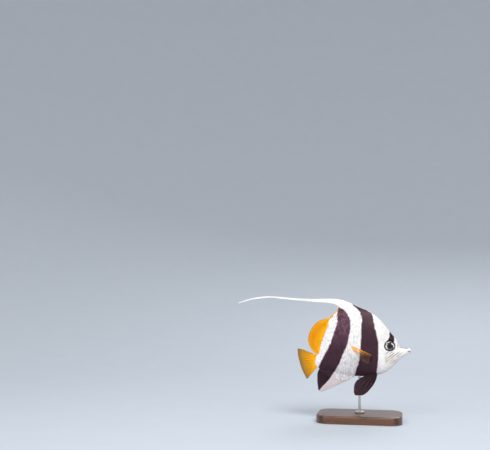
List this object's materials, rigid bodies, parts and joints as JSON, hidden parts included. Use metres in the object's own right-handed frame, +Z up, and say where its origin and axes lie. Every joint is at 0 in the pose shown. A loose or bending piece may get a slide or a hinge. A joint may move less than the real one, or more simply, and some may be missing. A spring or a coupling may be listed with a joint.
{
  "type": "bannerfish display model",
  "caption": "Life-size schooling bannerfish: tall flat banded body, long white banner from the back fin, yellow rear fins, held by a rod on a plain base.",
  "frame": {"origin": "centre of the base's underside, on the floor under the rod", "axes": "+X is the way the fish looks, +Z is up, and +Y is the fish's left"},
  "size_m": [0.247, 0.072, 0.174],
  "materials": {
    "white_skin": "satin scaled skin, banded in dark brown",
    "white_fin": "satin fin",
    "dark_fin": "satin fin",
    "yellow_fin": "satin fin, clear at its margin",
    "eye": "wet gloss",
    "base_wood": "dark satin varnish",
    "rod_metal": "satin metal"
  },
  "bodies": {
    "root": {"head": "white_skin", "trunk": "white_skin", "tail_stalk": "white_skin", "eye_left": "eye", "eye_right": "eye", "dorsal_fin_front": "dark_fin", "banner": "white_fin", "banner_filament": "white_fin", "dorsal_fin_rear": "dark_fin", "dorsal_fin_soft": "yellow_fin", "anal_fin_spiny": "white_fin", "anal_fin_soft": "dark_fin", "caudal_fin": "yellow_fin", "pectoral_fin_left": "yellow_fin", "pectoral_fin_right": "yellow_fin", "pelvic_fin_left": "dark_fin", "pelvic_fin_right": "dark_fin", "stand_base": "base_wood", "stand_rod": "rod_metal"}
  },
  "joints": []
}
